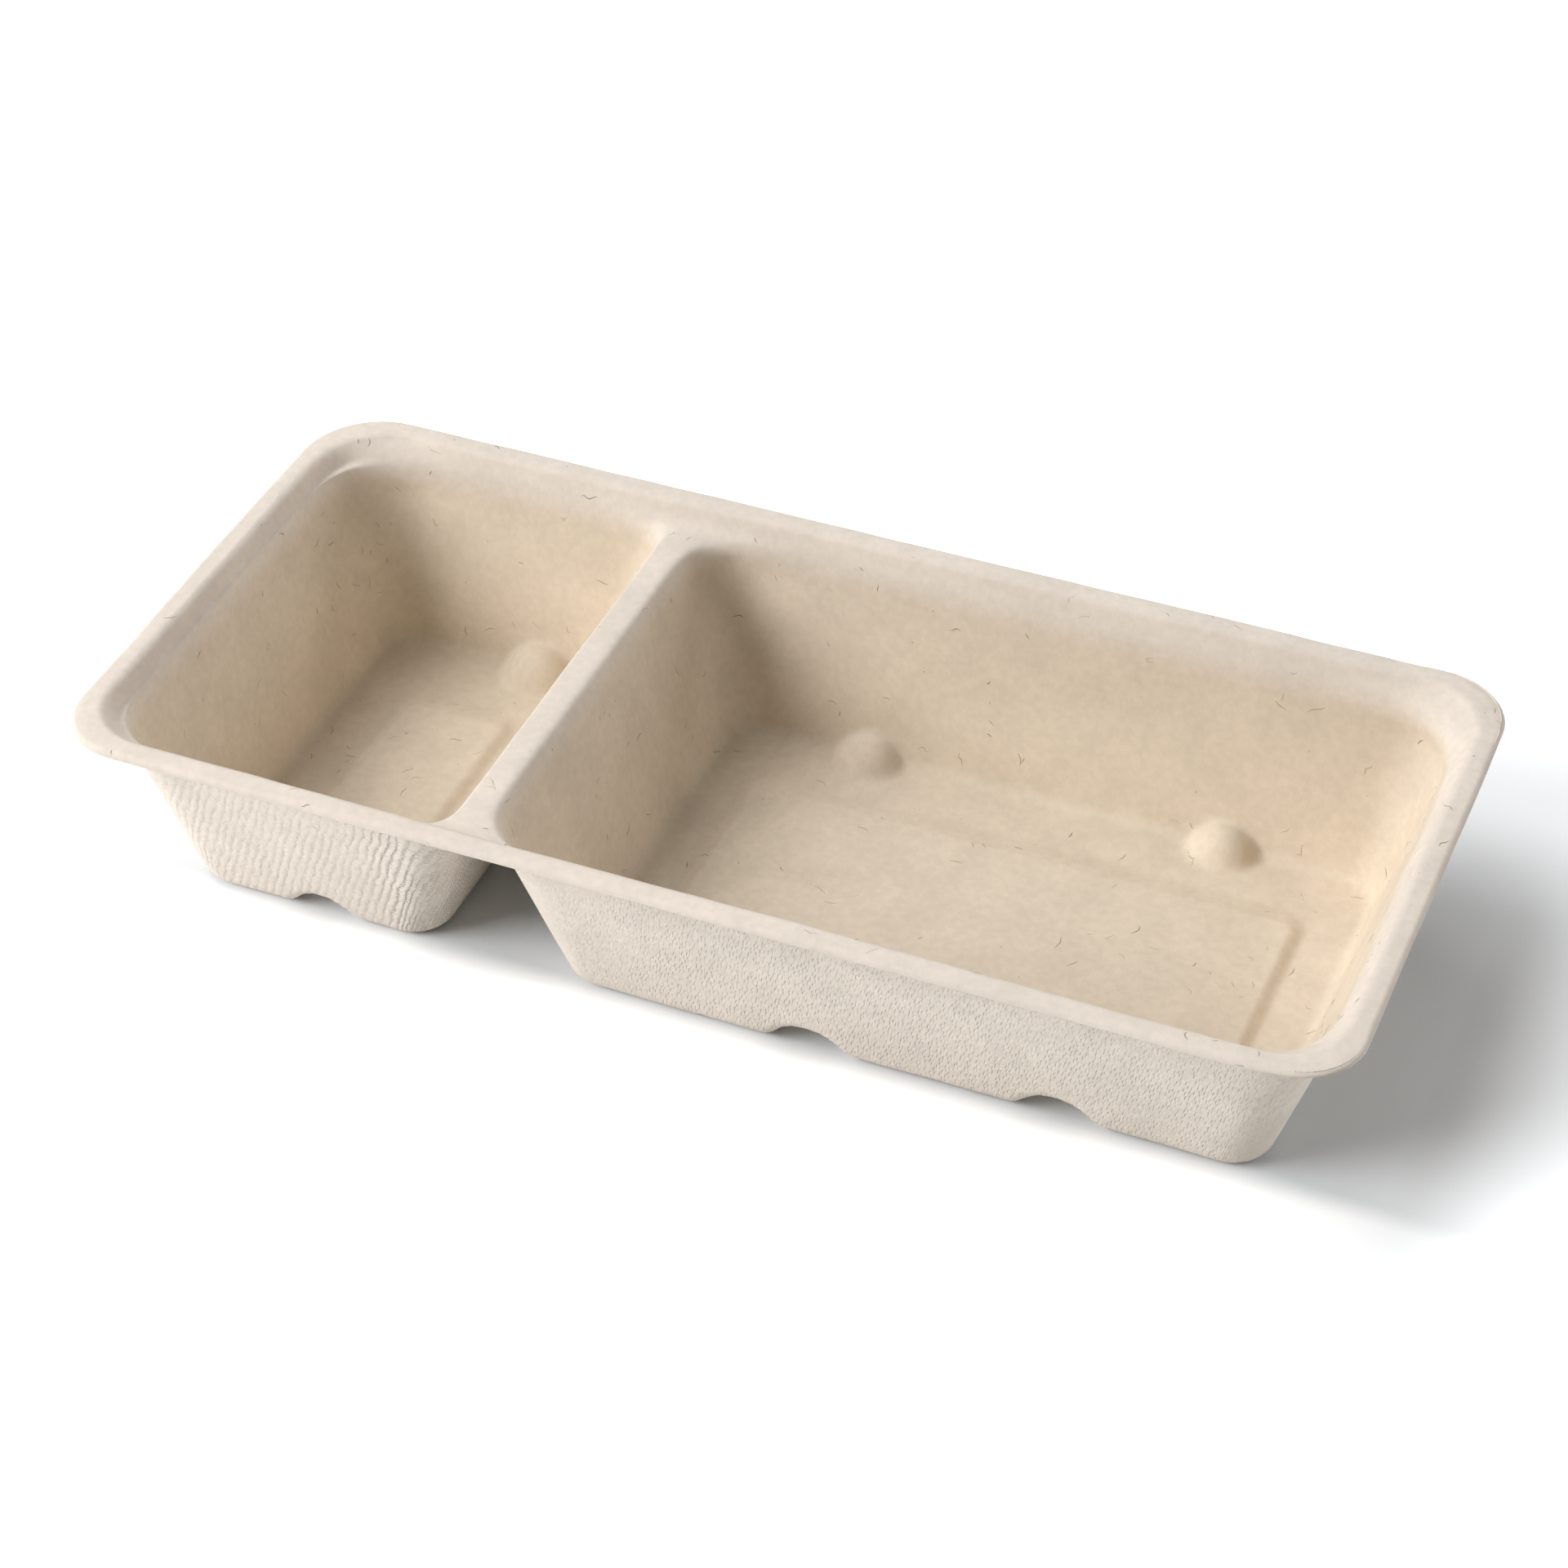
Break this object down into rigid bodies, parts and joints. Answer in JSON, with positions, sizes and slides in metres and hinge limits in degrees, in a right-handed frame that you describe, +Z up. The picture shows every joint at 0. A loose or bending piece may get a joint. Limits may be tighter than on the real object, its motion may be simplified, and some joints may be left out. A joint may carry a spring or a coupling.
{
  "type": "bagasse chip tray",
  "caption": "Rectangular moulded-pulp food tray: a small dip well and a long chip well under one stepped rim, with stacking lugs and raised floor panels.",
  "frame": {"origin": "on the table, under the middle of the rim", "axes": "+X along the length from the dip well to the chip well, +Y to the back, +Z up"},
  "size_m": [0.226, 0.1072, 0.0385],
  "materials": {
    "moulded_pulp": "unbleached bagasse pulp, matte, smooth inside and mesh-marked outside"
  },
  "bodies": {
    "root": {"tray": "moulded_pulp"}
  },
  "joints": []
}
